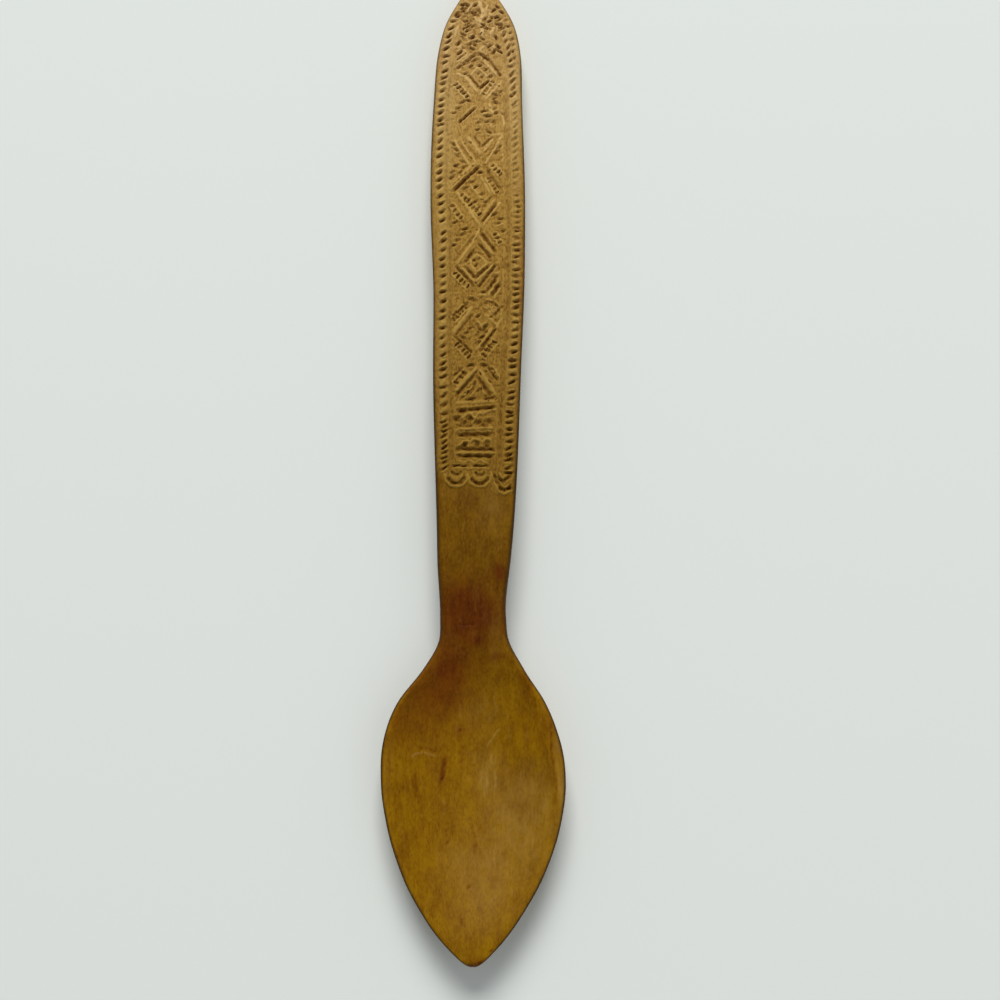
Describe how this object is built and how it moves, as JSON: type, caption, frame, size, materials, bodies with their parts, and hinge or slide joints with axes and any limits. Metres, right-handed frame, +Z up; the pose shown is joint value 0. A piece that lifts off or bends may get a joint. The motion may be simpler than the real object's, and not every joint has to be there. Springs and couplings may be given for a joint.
{
  "type": "carved wooden spoon",
  "caption": "Hand-carved wooden spoon with a pointed leaf-shaped bowl, a plain neck and a flat chip-carved handle that ends in a pointed arch.",
  "frame": {"origin": "on the table, under the middle of the spoon's length and width", "axes": "+Y from the bowl tip to the handle end, +Z up out of the carved face and the hollow, +X to the right"},
  "size_m": [0.0384, 0.228, 0.0112],
  "materials": {
    "dry_wood": "bare, dry, knife-cut surface",
    "oiled_wood": "smooth, darkened and slightly glossy from handling and oil"
  },
  "bodies": {
    "root": {"handle": "dry_wood", "neck": "oiled_wood", "bowl": "oiled_wood"}
  },
  "joints": []
}
